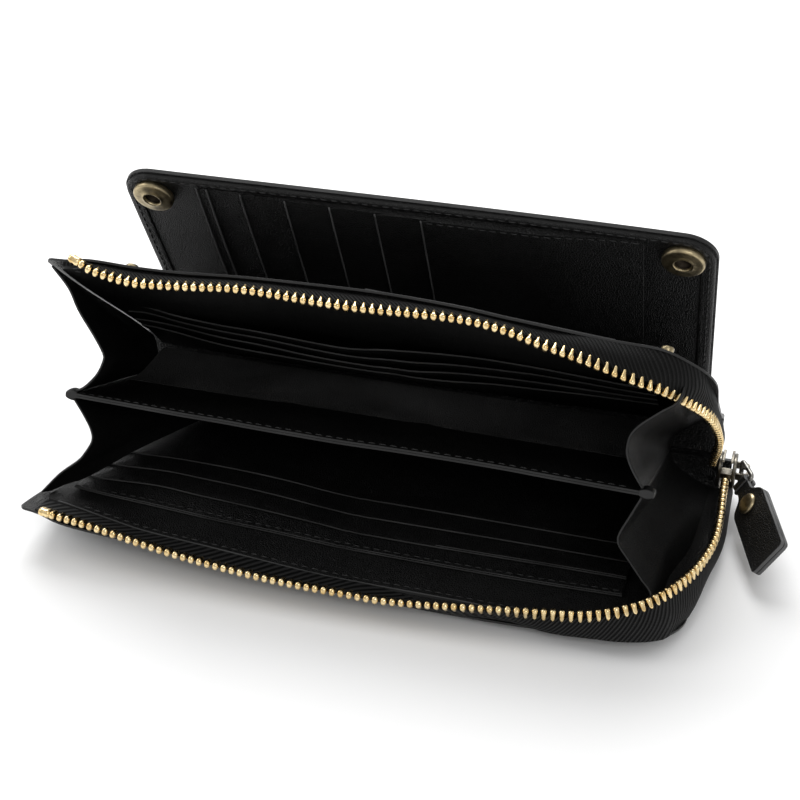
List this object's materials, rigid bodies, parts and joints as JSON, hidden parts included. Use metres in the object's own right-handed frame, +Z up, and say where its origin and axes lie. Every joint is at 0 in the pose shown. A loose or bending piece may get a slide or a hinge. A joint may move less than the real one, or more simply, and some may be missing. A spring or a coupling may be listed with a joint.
{
  "type": "long wallet",
  "caption": "Open long wallet: two pouch halves and a divider on one spine, accordion gussets, card pockets, an L-shaped zip with a leather pull, and a snap cover flap with more card slots.",
  "frame": {"origin": "centre of the front cover's underside, on the surface it lies on", "axes": "+X along the wallet towards the end with the zip slider, +Y towards the spine, +Z up"},
  "size_m": [0.2107, 0.1068, 0.0975],
  "materials": {
    "outer_leather": "grained, soft sheen",
    "lining_leather": "smooth matt",
    "pocket_leather": "fine grained, soft sheen",
    "gusset_leather": "thin, smooth",
    "pull_leather": "grained, raw edge",
    "zip_twill": "woven twill",
    "zip_metal": "polished",
    "slider_metal": "polished",
    "snap_metal": "antique"
  },
  "bodies": {
    "front_half": {"front_cover": "outer_leather", "front_lining": "lining_leather", "front_slip_pocket": "pocket_leather", "front_card_row_1": "pocket_leather", "front_card_row_2": "pocket_leather", "front_card_row_3": "pocket_leather", "front_zip_tape": "zip_twill", "front_zip_teeth": "zip_metal", "front_end_stop": "zip_metal", "gusset_left_front": "gusset_leather", "gusset_right_front": "gusset_leather", "spine_leather": "outer_leather"},
    "divider": {"divider_front_ply": "pocket_leather", "divider_back_ply": "pocket_leather"},
    "back_half": {"back_cover": "outer_leather", "back_lining": "lining_leather", "back_card_row_1": "pocket_leather", "back_card_row_2": "pocket_leather", "back_card_row_3": "pocket_leather", "back_card_row_4": "pocket_leather", "back_zip_tape": "zip_twill", "back_zip_teeth": "zip_metal", "back_end_stop": "zip_metal", "back_outer_card_row_1": "pocket_leather", "back_outer_card_row_2": "pocket_leather", "back_outer_card_row_3": "pocket_leather", "back_outer_card_row_4": "pocket_leather", "back_outer_card_row_5": "pocket_leather", "snap_studs": "snap_metal", "gusset_left_back": "gusset_leather", "gusset_right_back": "gusset_leather", "flap_fold_leather": "outer_leather"},
    "cover_flap": {"flap_cover": "outer_leather", "flap_lining": "lining_leather", "flap_card_row_1": "pocket_leather", "flap_card_row_2": "pocket_leather", "flap_card_row_3": "pocket_leather", "flap_card_row_4": "pocket_leather", "flap_card_row_5": "pocket_leather", "flap_card_row_6": "pocket_leather", "snap_sockets": "snap_metal", "snap_caps": "snap_metal"},
    "slider": {"slider_body": "slider_metal"},
    "link": {"pull_link": "slider_metal"},
    "tab": {"pull_tab_front_ply": "pull_leather", "pull_tab_back_ply": "pull_leather", "pull_rivet": "slider_metal"}
  },
  "joints": [
    {"name": "divider_fold", "type": "hinge", "parent": "front_half", "child": "divider", "pos_m": [0, 0.0455, 0.012], "axis": [-1, 0, 0], "range_deg": [-21.5, 5], "deforming": ["gusset_left_front", "gusset_right_front"]},
    {"name": "back_fold", "type": "hinge", "parent": "divider", "child": "back_half", "pos_m": [0, 0.0455, 0.012], "axis": [-1, 0, 0], "range_deg": [-21.5, 5], "deforming": ["gusset_left_back", "gusset_right_back", "spine_leather"]},
    {"name": "flap_fold", "type": "hinge", "parent": "back_half", "child": "cover_flap", "pos_m": [0, 0.05573, 0.02297], "axis": [-1, 0, 0], "range_deg": [-16, 120], "deforming": ["flap_fold_leather"]},
    {"name": "slider_slide", "type": "slide", "parent": "front_half", "child": "slider", "axis": [0, -1, 0], "range_m": [0, 0.056]},
    {"name": "link_turn", "type": "hinge", "parent": "slider", "child": "link", "pos_m": [0.0987, 0.0385, 0.012], "axis": [0, 0, 1], "range_deg": [-2, 110]},
    {"name": "tab_swing", "type": "hinge", "parent": "link", "child": "tab", "pos_m": [0.10036, 0.03068, 0.012], "axis": [0.5327, 0.1132, 0.8387], "range_deg": [-12, 60]}
  ],
  "couplings": [
    {"joint": "back_fold", "follows": "divider_fold", "ratio": 1}
  ]
}
